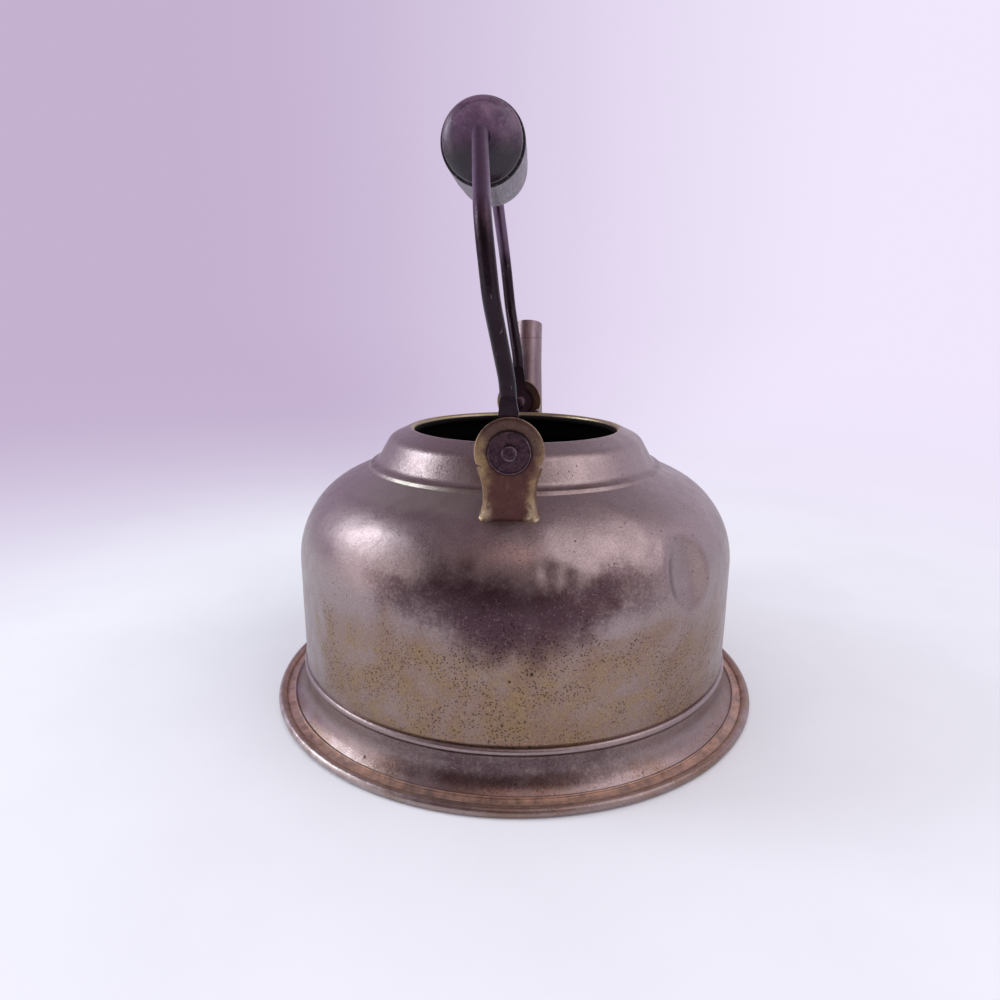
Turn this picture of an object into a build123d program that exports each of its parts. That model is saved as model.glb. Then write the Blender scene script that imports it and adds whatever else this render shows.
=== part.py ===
from build123d import *

import os
from math import asin, cos, degrees, radians, sin, tan

# Small tea kettle with a swinging bail: a spun body on a flared foot, a curved spout, two ears,
# and a wire bail with a turned grip. Millimetres, +Z up, the spout points along +Y.
# The origin is the middle of the ring that the kettle stands on.

os.makedirs("parts", exist_ok=True)

# Fits
solder_gap = 0.05  # between sheets that are soldered together
running_gap = 0.08  # between a pin or rod and the hole that turns on it
side_gap = 0.30  # between flat faces that slide past each other

# Body, spun from one sheet
body_sheet = 0.9
body_height = 91.0  # to the corner of the lip, before it is rounded
wall_radius = 72.5
shoulder_round = 31.0
shoulder_slope = 29.7  # degrees above level, from the shoulder in to the neck
neck_crease_round = 5.0
neck_height = 7.3
neck_flare = 5.6
ridge_round = 4.0
rim_run = 8.0  # from the ridge in to the mouth
rim_rise = 3.3
mouth_radius = 34.0
lip_round = 1.2
lip_depth = 3.4

# Foot, spun from one sheet and rolled round a wire
foot_sheet = 0.8
foot_spread = 10.0  # beyond the wall
foot_height = 14.3
collar_height = 5.0  # the part that stands inside the wall
collar_round = 0.25
bead_radius = 0.95
bead_stand_out = 0.8  # beyond the wall
cove_drop = 43.0  # degrees below level, down to the flat band
cove_round = 8.0
band_round = 1.4
band_run = 4.2
band_drop = 0.7
ridge_line_radius = 0.45
edge_wire_radius = 0.75
edge_roll_sheet = 0.7
hem_height = 1.2  # the sheet's end, pressed upright inside the roll, which locates the kettle on a stand's ring
worn_flat_depth = 0.08

# Bottom pan, a dish soldered in the collar of the foot
pan_sheet = 0.8
pan_depth = 4.5

# Spout
spout_sheet = 0.9
spout_askew = 1.5  # degrees, as the old one is soldered on
spout_root = (-10.5, 11.7)  # out from the wall, up from the top of the foot
spout_belly = (12.3, 29.5)
spout_throat = (22.7, 55.2)
spout_neck = (28.1, 82.7)
spout_tip = (34.5, 108.0)
spout_root_climb = 35.0  # degrees above level
spout_tip_climb = 68.0
spout_root_radius = 13.0
spout_tip_radius = 6.55
spout_sections = 5

# Ears that carry the bail
ear_sheet = 1.2
ear_inset = 13.0  # outer face, in from the wall
pivot_above_rim = 0.9
ear_head_radius = 9.2
ear_shoulder_half_width = 9.1
ear_shoulder_drop = 3.7
ear_waist_half_width = 7.2
ear_waist_drop = 10.8
ear_foot_half_width = 9.0
ear_foot_drop = 20.0  # below the shoulder that the ear is trimmed to
flange_depth = 9.0
flange_slope = 34.0  # degrees below level, going in to the neck
ear_fold_round = 1.0

# Pivots
pin_radius = 1.6
disc_radius = 5.6
disc_thickness = 0.7
disc_rim_width = 0.45
disc_rim_rise = 0.35
rivet_head_radius = 2.2
rivet_head_height = 0.8
rivet_tail_radius = 2.7
rivet_tail_height = 1.3

# Bail
lean = 6.5  # degrees from upright, as it stands
strap_set = 4.5  # degrees that the straps are bent back from the lean
strap_half_width = 2.6
strap_thickness = 2.2
strap_height = 14.6  # above the pivot, to the top of the flat
strap_taper_height = 4.4
eye_radius = 5.0
flat_cut_radius = 3.2
rod_radius = 2.2
rod_start_height = 8.0
rod_bend_height = 17.5
bow_stand_out = 9.6  # beyond the straps
bow_low_height = 38.0
bow_high_height = 56.0
bend_low_round = 16.0
bow_round = 14.0
bend_high_round = 16.0
grip_bend_round = 4.5
grip_height = 82.6  # above the pivots
grip_rise = 2.4  # the spout end of the bail stands this much higher than the other
grip_bend_clearance = 6.0

# Grip, turned from one piece of wood
grip_length = 60.0
grip_mid_radius = 12.3
grip_end_radius = 12.0
cap_radius = 10.8
cap_length = 5.2
dome_rise = 2.6
cap_edge_round = 0.9
neck_groove_width = 1.9
neck_groove_radius = 8.4
middle_line_width = 0.5
middle_line_depth = 0.35

# Places worked out from the sizes above
ridge_radius = mouth_radius + rim_run
ridge_z = body_height - rim_rise
crease_radius = ridge_radius + neck_flare
crease_z = ridge_z - neck_height
shoulder_corner_z = crease_z - (wall_radius - crease_radius) * tan(radians(shoulder_slope))
wall_foot_z = foot_height + collar_round + solder_gap
collar_radius = wall_radius - body_sheet - solder_gap
edge_roll_radius = edge_wire_radius + solder_gap + edge_roll_sheet
edge_centre = (wall_radius + foot_spread - edge_roll_radius, edge_roll_radius - worn_flat_depth)
ear_reach = wall_radius - ear_inset
pivot_z = body_height + pivot_above_rim
pivot = Vector(0, 0, pivot_z)


def body_outline():
    """The outer face of the body's sheet, from the bottom of the wall up and in over the mouth's lip."""
    points = [
        (wall_radius, wall_foot_z),
        (wall_radius, shoulder_corner_z),
        (crease_radius, crease_z),
        (ridge_radius, ridge_z),
        (mouth_radius, body_height),
        (mouth_radius, body_height - lip_depth),
    ]
    return FilletPolyline(*points, radius=[shoulder_round, neck_crease_round, ridge_round, lip_round])


def dome_outline(base, radius, rise):
    """The outline of a round dome on the first axis, from its top in to the edge of its base."""
    ball_radius = (radius**2 + rise**2) / (2 * rise)
    return CenterArc((base + rise - ball_radius, 0), ball_radius, 0, degrees(asin(radius / ball_radius)))


# A solid of all that lies inside the body's outer face, a solder gap larger, for trimming what sits on it
with BuildPart() as body_envelope:
    with BuildSketch(Plane.XZ):
        with BuildLine():
            outline = body_outline()
            Polyline(outline @ 1, (0, body_height - lip_depth), (0, wall_foot_z), outline @ 0)
        make_face()
        offset(amount=solder_gap, kind=Kind.INTERSECTION)
        Rectangle(wall_radius, 3 * body_height, align=(Align.MAX, Align.CENTER), mode=Mode.SUBTRACT)
    revolve(axis=Axis.Z)

# Spout: circles along a curved centre line, in a plane turned a little from the kettle's own
spout_turn = radians(spout_askew)
spout_out = Vector(sin(spout_turn), cos(spout_turn), 0)
spout_side = Vector(cos(spout_turn), -sin(spout_turn), 0)
spout_plane = Plane(origin=(0, 0, 0), x_dir=spout_out, z_dir=spout_side)
spout_stations = [spout_root, spout_belly, spout_throat, spout_neck, spout_tip]
spout_points = [(wall_radius + out, foot_height + up) for out, up in spout_stations]


def spout_radius(share):
    """The spout's outer radius at a share of its length from the root: it narrows quickly and then slowly."""
    return spout_tip_radius + (spout_root_radius - spout_tip_radius) * (1 - share) ** 2


with BuildLine(spout_plane) as spout_line:
    Spline(
        *spout_points,
        tangents=[
            (cos(radians(spout_root_climb)), sin(radians(spout_root_climb))),
            (cos(radians(spout_tip_climb)), sin(radians(spout_tip_climb))),
        ],
    )

spout_shares = [n / (spout_sections - 1) for n in range(spout_sections)]


def spout_section_plane(share):
    """The plane square to the spout's centre line at a share of its length."""
    return Plane(origin=spout_line.line @ share, x_dir=spout_side, z_dir=spout_line.line % share)


with BuildPart() as spout_bore:
    for share in spout_shares:
        with BuildSketch(spout_section_plane(share)):
            Circle(spout_radius(share) - spout_sheet)
    sweep(path=spout_line.line, multisection=True)

with BuildPart() as spout:
    for share in spout_shares:
        with BuildSketch(spout_section_plane(share)):
            Circle(spout_radius(share))
    sweep(path=spout_line.line, multisection=True)
    add(spout_bore.part, mode=Mode.SUBTRACT)
    add(body_envelope.part, mode=Mode.SUBTRACT)
spout.part.label = "spout"
export_step(spout.part, "parts/spout.step")

# Body
with BuildPart() as body_shell:
    with BuildSketch(Plane.XZ):
        with BuildLine():
            body_outline()
            offset(amount=body_sheet, side=Side.LEFT)
        make_face()
    revolve(axis=Axis.Z)
    add(spout_bore.part, mode=Mode.SUBTRACT)
body_shell.part.label = "body_shell"
export_step(body_shell.part, "parts/body_shell.step")

# Foot: collar, cove and band in one sheet, with a bead under the wall and a rolled edge
sheet_radius = wall_radius + 0.3
band_out = edge_centre[0] - band_run
band_z = edge_centre[1] + edge_roll_radius - band_drop
cove_fall = (band_out - sheet_radius) * tan(radians(cove_drop))
with BuildPart() as skirt_ring:
    with BuildSketch(Plane.XZ):
        with BuildLine():
            FilletPolyline(
                (collar_radius, foot_height + collar_height),
                (collar_radius, foot_height - bead_radius),
                (sheet_radius, foot_height - 2 * bead_radius),
                (sheet_radius, band_z + cove_fall),
                (band_out, band_z),
                (edge_centre[0], band_z - band_drop),
                radius=[bead_radius, bead_radius, cove_round, band_round],
            )
            offset(amount=foot_sheet, side=Side.RIGHT)
        make_face()
        with Locations((wall_radius + bead_stand_out - bead_radius, foot_height - bead_radius)):
            Circle(bead_radius)
        with Locations((band_out, band_z)):
            Circle(ridge_line_radius)
        with Locations((edge_centre[0], 0)):
            Rectangle(edge_roll_radius, hem_height, align=(Align.MAX, Align.MIN))
        with Locations(edge_centre):
            Circle(edge_roll_radius)
            Circle(edge_wire_radius + solder_gap, mode=Mode.SUBTRACT)
    revolve(axis=Axis.Z)
    split(bisect_by=Plane.XY, keep=Keep.TOP)
skirt_ring.part.label = "skirt_ring"
export_step(skirt_ring.part, "parts/skirt_ring.step")

with BuildPart() as skirt_wire:
    with BuildSketch(Plane.XZ):
        with Locations(edge_centre):
            Circle(edge_wire_radius)
    revolve(axis=Axis.Z)
skirt_wire.part.label = "skirt_wire"
export_step(skirt_wire.part, "parts/skirt_wire.step")

# Bottom pan, inside the collar
pan_radius = collar_radius - foot_sheet - solder_gap
pan_top = foot_height + collar_height
with BuildPart() as bottom_pan:
    with BuildSketch(Plane.XZ):
        with BuildLine():
            FilletPolyline(
                (0, pan_top - pan_depth),
                (pan_radius, pan_top - pan_depth),
                (pan_radius, pan_top),
                radius=[2 * pan_sheet],
            )
            offset(amount=pan_sheet, side=Side.LEFT)
        make_face()
    revolve(axis=Axis.Z)
bottom_pan.part.label = "bottom_pan"
export_step(bottom_pan.part, "parts/bottom_pan.step")

# Ears: a round-headed plate with its lower sides folded back to the neck, trimmed to the shoulder
ear_plane = Plane(origin=(0, -ear_reach, pivot_z), x_dir=(1, 0, 0), z_dir=(0, -1, 0))
ear_side_plane = Plane(origin=(0, -ear_reach, pivot_z), x_dir=(0, 1, 0), z_dir=(1, 0, 0))


def ear_side():
    """One lower side of the ear's plate, drawn in at the waist, seen from outside."""
    return ThreePointArc(
        (ear_shoulder_half_width, -ear_shoulder_drop),
        (ear_waist_half_width, -ear_waist_drop),
        (ear_foot_half_width, -ear_foot_drop),
    )


with BuildPart() as rear_ear:
    with BuildSketch(ear_plane):
        with BuildLine():
            ear_side()
            offset(amount=ear_sheet, side=Side.RIGHT)
        make_face()
        mirror(about=Plane.YZ)
    extrude(amount=-flange_depth)
    with BuildSketch(ear_side_plane):
        with BuildLine():
            Polyline(
                (0, -ear_shoulder_drop),
                (ear_sheet, -ear_shoulder_drop),
                (flange_depth, -ear_shoulder_drop - (flange_depth - ear_sheet) * tan(radians(flange_slope))),
                (flange_depth, -ear_foot_drop),
                (0, -ear_foot_drop),
                close=True,
            )
        make_face()
    extrude(amount=ear_shoulder_half_width + ear_foot_half_width, both=True, mode=Mode.INTERSECT)
    with BuildSketch(ear_plane):
        with BuildLine():
            side = ear_side()
            Polyline(side @ 0, (0, -ear_shoulder_drop), (0, -ear_foot_drop), side @ 1)
        make_face()
        mirror(about=Plane.YZ)
        Circle(ear_head_radius)
    extrude(amount=-ear_sheet)
    outer_rounds = rear_ear.edges().filter_by(GeomType.CIRCLE).group_by(Axis.Y)[0]
    fillet(outer_rounds.filter_by(lambda edge: edge.radius > ear_head_radius), radius=ear_fold_round)
    with BuildSketch(ear_plane):
        Circle(pin_radius + solder_gap)
    extrude(amount=-ear_sheet, mode=Mode.SUBTRACT)
    add(body_envelope.part, mode=Mode.SUBTRACT)
rear_ear.part.label = "rear_ear"
export_step(rear_ear.part, "parts/rear_ear.step")

# Pivot disc, on the outer face of the ear: a thin round plate with a raised rim
with BuildPart() as rear_pivot_disc:
    with BuildSketch(ear_plane.offset(solder_gap)):
        Circle(disc_radius)
    extrude(amount=disc_thickness)
    with BuildSketch(ear_plane.offset(solder_gap + disc_thickness)):
        Circle(disc_radius)
        Circle(disc_radius - disc_rim_width, mode=Mode.SUBTRACT)
    extrude(amount=disc_rim_rise)
    fillet(rear_pivot_disc.edges().filter_by(GeomType.CIRCLE).sort_by(Axis.Y)[:2], radius=disc_rim_width / 3)
    with BuildSketch(ear_plane):
        Circle(pin_radius + solder_gap)
    extrude(amount=2 * disc_thickness, mode=Mode.SUBTRACT)
rear_pivot_disc.part.label = "rear_pivot_disc"
export_step(rear_pivot_disc.part, "parts/rear_pivot_disc.step")

# Rivet: a low head on the disc, a pin through disc, ear and strap, and a domed tail inside
strap_out_y = ear_sheet + side_gap  # the strap's outer face, measured inwards from the ear's
tail_y = strap_out_y + strap_thickness + side_gap
head_y = -disc_thickness - 2 * solder_gap
with BuildPart() as rear_rivet:
    with BuildSketch(ear_side_plane):
        with BuildLine():
            FilletPolyline(
                (head_y - rivet_head_height, 0),
                (head_y - rivet_head_height, rivet_head_radius),
                (head_y, rivet_head_radius),
                radius=rivet_head_height / 2,
            )
            tail = dome_outline(tail_y, rivet_tail_radius, rivet_tail_height)
            Polyline((head_y, rivet_head_radius), (head_y, pin_radius), (tail_y, pin_radius), tail @ 1)
            Line(tail @ 0, (head_y - rivet_head_height, 0))
        make_face()
    revolve(axis=Axis(ear_plane.origin, (0, 1, 0)))
rear_rivet.part.label = "rear_rivet"
export_step(rear_rivet.part, "parts/rear_rivet.step")

# The ear, disc and rivet at the spout end are the same pieces the other way round
with BuildPart() as front_ear:
    mirror(rear_ear.part, about=Plane.XZ)
front_ear.part.label = "front_ear"
export_step(front_ear.part, "parts/front_ear.step")

with BuildPart() as front_pivot_disc:
    mirror(rear_pivot_disc.part, about=Plane.XZ)
front_pivot_disc.part.label = "front_pivot_disc"
export_step(front_pivot_disc.part, "parts/front_pivot_disc.step")

with BuildPart() as front_rivet:
    mirror(rear_rivet.part, about=Plane.XZ)
front_rivet.part.label = "front_rivet"
export_step(front_rivet.part, "parts/front_rivet.step")

# Bail: the plane that it lies in leans over about the pivots, and its straps lean less
lean_turn = radians(lean)
strap_turn = radians(lean - strap_set)
bail_plane = Plane(origin=pivot, x_dir=(0, 1, 0), z_dir=(cos(lean_turn), 0, sin(lean_turn)))
strap_middle_y = ear_reach - strap_out_y - strap_thickness / 2
bow_half_width = strap_middle_y + bow_stand_out
strap_up = Vector(-sin(strap_turn), 0, cos(strap_turn))
strap_side = Vector(cos(strap_turn), 0, sin(strap_turn))
grip_bend_half_width = grip_length / 2 + grip_bend_clearance


def bail_point(along, up):
    """A point of the bail's plane: along the line of the pivots and up from it."""
    return bail_plane.from_local_coords((along, up, 0))


def strap_point(along, up):
    """A point of a strap's middle line."""
    return pivot + Vector(0, along, 0) + strap_up * up


def strap_plane(along):
    """The plane across the pivots' line at one strap, with the strap's length as its second direction."""
    return Plane(origin=pivot + Vector(0, along, 0), x_dir=strap_side, z_dir=(0, -1, 0))


rod_points = [
    strap_point(-strap_middle_y, rod_start_height),
    strap_point(-strap_middle_y, rod_bend_height),
    bail_point(-bow_half_width, bow_low_height),
    bail_point(-bow_half_width, bow_high_height),
    bail_point(-grip_bend_half_width, grip_height - grip_rise / 2),
    bail_point(grip_bend_half_width, grip_height + grip_rise / 2),
    bail_point(bow_half_width, bow_high_height),
    bail_point(bow_half_width, bow_low_height),
    strap_point(strap_middle_y, rod_bend_height),
    strap_point(strap_middle_y, rod_start_height),
]
rod_rounds = [bend_low_round, bow_round, bend_high_round, grip_bend_round]
with BuildLine() as rod_line:
    FilletPolyline(*rod_points, radius=rod_rounds + rod_rounds[::-1])

with BuildPart() as bail_rod:
    with BuildSketch(Plane(origin=rod_line.line @ 0, z_dir=rod_line.line % 0)):
        Circle(rod_radius)
    sweep(path=rod_line.line)
    for end in (-1, 1):
        for face in (-1, 1):
            with BuildSketch(strap_plane(end * strap_middle_y + face * strap_thickness / 2)):
                with Locations((0, strap_height - flat_cut_radius)):
                    Circle(flat_cut_radius)
                    Rectangle(2 * flat_cut_radius, strap_height, align=(Align.CENTER, Align.MAX))
            extrude(amount=-face * rod_radius, mode=Mode.SUBTRACT)
        with BuildSketch(strap_plane(end * strap_middle_y)):
            with BuildLine():
                Polyline(
                    (-strap_half_width, 0),
                    (-strap_half_width, strap_height - strap_taper_height),
                    (-rod_radius / 2, strap_height + strap_taper_height),
                    (rod_radius / 2, strap_height + strap_taper_height),
                    (strap_half_width, strap_height - strap_taper_height),
                    (strap_half_width, 0),
                    close=True,
                )
            make_face()
            Circle(eye_radius)
        extrude(amount=strap_thickness / 2, both=True)
        with BuildSketch(strap_plane(end * strap_middle_y)):
            Circle(pin_radius + running_gap)
        extrude(amount=strap_thickness, both=True, mode=Mode.SUBTRACT)
bail_rod.part.label = "bail_rod"
export_step(bail_rod.part, "parts/bail_rod.step")

# Grip: a turned barrel with a domed cap and a groove at each end, and a cut line round its middle
grip_start = bail_point(-grip_bend_half_width, grip_height - grip_rise / 2)
grip_end = bail_point(grip_bend_half_width, grip_height + grip_rise / 2)
grip_plane = Plane(origin=(grip_start + grip_end) * 0.5, x_dir=grip_end - grip_start, z_dir=bail_plane.z_dir)
cap_start = grip_length / 2 - cap_length
groove_start = cap_start - neck_groove_width
dome_start = grip_length / 2 - dome_rise
with BuildPart() as grip:
    with BuildSketch(grip_plane):
        with BuildLine():
            barrel = ThreePointArc(
                (-groove_start, grip_end_radius),
                (0, grip_mid_radius),
                (groove_start, grip_end_radius),
            )
            Polyline(barrel @ 0, (-groove_start, 0), (groove_start, 0), barrel @ 1)
        make_face()
        with Locations((0, grip_mid_radius)):
            Rectangle(middle_line_width, 2 * middle_line_depth, mode=Mode.SUBTRACT)
        with Locations((groove_start, 0)):
            Rectangle(neck_groove_width, neck_groove_radius, align=(Align.MIN, Align.MIN))
        with BuildLine():
            dome = dome_outline(dome_start, cap_radius - cap_edge_round, dome_rise)
            edge = FilletPolyline(
                dome @ 1,
                (dome_start, cap_radius),
                (cap_start, cap_radius),
                (cap_start, 0),
                radius=cap_edge_round / 2,
            )
            Line(edge @ 1, dome @ 0)
        make_face()
        mirror(about=Plane.YZ)
    revolve(axis=Axis(grip_plane.origin, grip_plane.x_dir))
    with BuildSketch(Plane(origin=grip_start, z_dir=grip_plane.x_dir)):
        Circle(rod_radius + running_gap)
    extrude(amount=2 * grip_bend_half_width, mode=Mode.SUBTRACT)
grip.part.label = "grip"
export_step(grip.part, "parts/grip.step")
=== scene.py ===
"""Looks of a small tea kettle: worn plate, brass, dark steel and a turned wooden grip."""

import math

import bmesh
import bpy
from bpy.props import FloatProperty, FloatVectorProperty, PointerProperty
from mathutils import Matrix, Vector, noise


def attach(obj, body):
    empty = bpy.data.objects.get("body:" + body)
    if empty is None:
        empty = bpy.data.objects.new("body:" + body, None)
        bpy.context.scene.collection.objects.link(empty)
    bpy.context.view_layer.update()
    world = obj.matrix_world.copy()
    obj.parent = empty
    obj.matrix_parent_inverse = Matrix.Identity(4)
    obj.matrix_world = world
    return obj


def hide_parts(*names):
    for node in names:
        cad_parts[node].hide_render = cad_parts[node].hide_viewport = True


bl_info = {
    "name": "Tea Kettle",
    "version": (1, 0, 0),
    "blender": (4, 5, 0),
    "location": "3D View > Sidebar > Kettle",
    "description": "Builds the pieces and finishes of a small tea kettle with a swinging bail",
    "category": "Object",
}

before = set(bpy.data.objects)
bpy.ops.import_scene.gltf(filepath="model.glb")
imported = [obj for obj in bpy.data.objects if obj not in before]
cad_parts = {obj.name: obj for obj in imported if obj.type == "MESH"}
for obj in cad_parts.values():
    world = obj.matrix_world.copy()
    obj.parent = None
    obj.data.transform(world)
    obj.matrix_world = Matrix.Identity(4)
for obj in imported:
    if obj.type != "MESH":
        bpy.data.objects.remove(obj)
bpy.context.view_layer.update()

MM = 0.001
# Faces round the spun sheets and round the grip
SHEET_STEPS = 320
GRIP_STEPS = 128
# Waves of unevenness per metre, and how far the grip's go in and out, in metres
BROAD_WAVES = 28.0
SMALL_WAVES = 75.0
GRIP_WAVES = 90.0
GRIP_UNEVEN = (0.00012, 0.00008)

# Sizes that the solids have too, in metres
PIVOT_HEIGHT = 0.0919
EAR_REACH = 0.0595
BODY_SHEET = 0.0009
DENT_CENTRE = (0.0512, -0.0515, 0.0565)
SPOUT_ROOT = (0.0019, 0.0725, 0.0345)
GRIP_CENTRE = Vector((-0.0093506, 0.0, 0.173969))
GRIP_AXIS = Vector((-0.00377, 0.99945, 0.03310))
# Up to here the inner side is the dark inside, and above it the polished lip
LIP_HEIGHT = 0.0893

# Sizes in millimetres and slopes in degrees
BODY_CORNERS = (
    (72.5, 14.15), (72.5, 66.8), (49.2, 77.9), (48.5, 79.0),
    (46.3, 79.6), (41.8, 87.4), (34.0, 91.0), (34.0, 87.6),
)
BODY_ROUNDS = (28.1, 1.0, 0.9, 3.6, 5.0, 1.2)
SHOULDER_CENTRE = (44.4, 49.07)
SHOULDER_ROUND = 28.1
SHOULDER_SLOPE = 25.5
FOOT_RADIUS = 82.5
# From the top of the collar over bead, cove, ridge line, band and rolled edge, and back inside
FOOT_CORNERS = (
    (71.15, 19.3), (71.55, 19.3), (71.55, 14.3), (73.3, 14.3), (73.3, 12.75), (72.8, 12.15), (72.8, 5.95),
    (76.47, 2.53), (77.49, 3.62), (77.244, 2.146), (79.54, 1.764), (79.81, 2.92), (82.5, 2.92), (82.5, 0.346),
    (81.48, 0.0), (79.5, 0.0), (79.5, 0.96), (76.43, 1.47), (72.0, 5.6), (72.0, 12.0), (70.75, 12.95),
    (70.75, 19.3), (71.15, 19.3),
)
FOOT_ROUNDS = (
    0.1, 0.05, 0.95, 0.5, 1.5, 8.0, 0.12, 0.36, 0.12, 0.05, 1.42,
    1.5, 1.45, 0.04, 0.1, 0.2, 2.2, 8.8, 0.5, 1.7, 0.1,
)
EAR_SHEET = 1.2
EAR_HEAD = 9.2
EAR_OUTLINE = ((9.1, -3.7), (7.2, -10.8), (9.0, -20.0))
EAR_FOLD = 2.4
FLANGE_DEPTH = 9.0
FLANGE_SLOPE = 34.0
FLANGE_GAP = 0.1
HEAD_ROLL = 1.1
HEAD_DROP = 0.32
FOOT_LEAN = 1.0
LEAN_START = 6.0
LEAN_HEIGHT = 12.0
FOOT_DROP = 18.0
SEAM = 0.05
SOLDER_WIDTH = 0.2
SOLDER_HEIGHT = 0.8
# Shares of half the unfolded ear: its flat face, then its fold, and what is left is the folded side
FLAT_SHARE = 0.5
FOLD_SHARE = 0.25
SPOUT_HOLE = 8.5
# Radius and place along the axis, from the spout end to the other
GRIP_CORNERS = (
    (2.4, 30.0), (5.0, 29.7), (9.6, 28.0), (11.4, 25.7), (11.3, 24.8), (8.4, 24.8), (8.4, 22.9), (12.1, 22.9),
    (12.25, 13.2), (11.9, 12.95), (12.25, 12.7), (12.3, 0.0), (12.1, -22.9), (8.4, -22.9), (8.4, -24.8),
    (11.3, -24.8), (11.4, -25.7), (9.6, -28.0), (5.0, -29.7), (2.4, -30.0),
)
GRIP_ROUNDS = (
    12.0, 6.0, 1.4, 0.15, 0.3, 0.3, 0.5, 0.06, 0.05, 0.06, 60.0, 0.5, 0.3, 0.3, 0.15, 1.4, 6.0, 12.0,
)

# The camera that the photograph was taken with
CAMERA_PLACE = (0.00618, -0.24262, 0.12573)
CAMERA_RIGHT = (0.99885778, 0.0475633, 0.00456839)
CAMERA_UP = (-0.01609166, 0.24482165, 0.96943459)
CAMERA_FORWARD = (-0.04499107, 0.96840079, -0.24530739)
FOCAL_PIXELS = 722.0
IMAGE_PIXELS = 1000.0
SENSOR_WIDTH = 36.0

# Lamps: name, degrees round from the camera's side, degrees up, width in metres, setting of its power, colour
LAMPS = (
    ("window", -94, 30, 0.36, "window", (0.84, 0.93, 1.0)),
    ("fill", 66, 47, 0.75, "fill", (1.0, 0.96, 1.0)),
    ("glow", 3, 55, 0.22, "glow", (1.0, 0.72, 0.66)),
    ("low_left", -72, 10, 0.6, "low", (1.0, 0.95, 0.95)),
    ("low_right", 48, 9, 0.8, "low", (1.0, 0.95, 0.95)),
)
LAMP_AIM = Vector((0, 0, 0.06))
LAMP_DISTANCE = 1.0

# Dents: degrees round from the back towards +X, height, half width, half height, depth in millimetres
DENTS = (
    (44.8, 56.5, 7.6, 9.0, 2.5),
    (21.5, 69.0, 12.0, 6.0, 0.9),
    (8.5, 62.0, 2.4, 2.2, 0.7),
    (12.2, 61.4, 2.8, 1.5, 0.8),
    (19.0, 55.3, 6.5, 1.7, 1.3),
    (31.0, 63.5, 8.0, 2.4, 0.35),
    (-24.0, 47.0, 6.0, 5.0, 0.3),
    (-33.0, 62.0, 14.0, 5.0, 0.3),
    (120.0, 40.0, 12.0, 9.0, 0.6),
    (-142.0, 55.0, 10.0, 7.0, 0.5),
    (168.0, 60.0, 8.0, 5.0, 0.4),
)


def tint(*screen):
    """A colour written as screen values from 0 to 255, as the linear values that Blender takes."""
    return tuple(((c / 255 + 0.055) / 1.055) ** 2.4 if c > 10 else c / 255 / 12.92 for c in screen)


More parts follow.
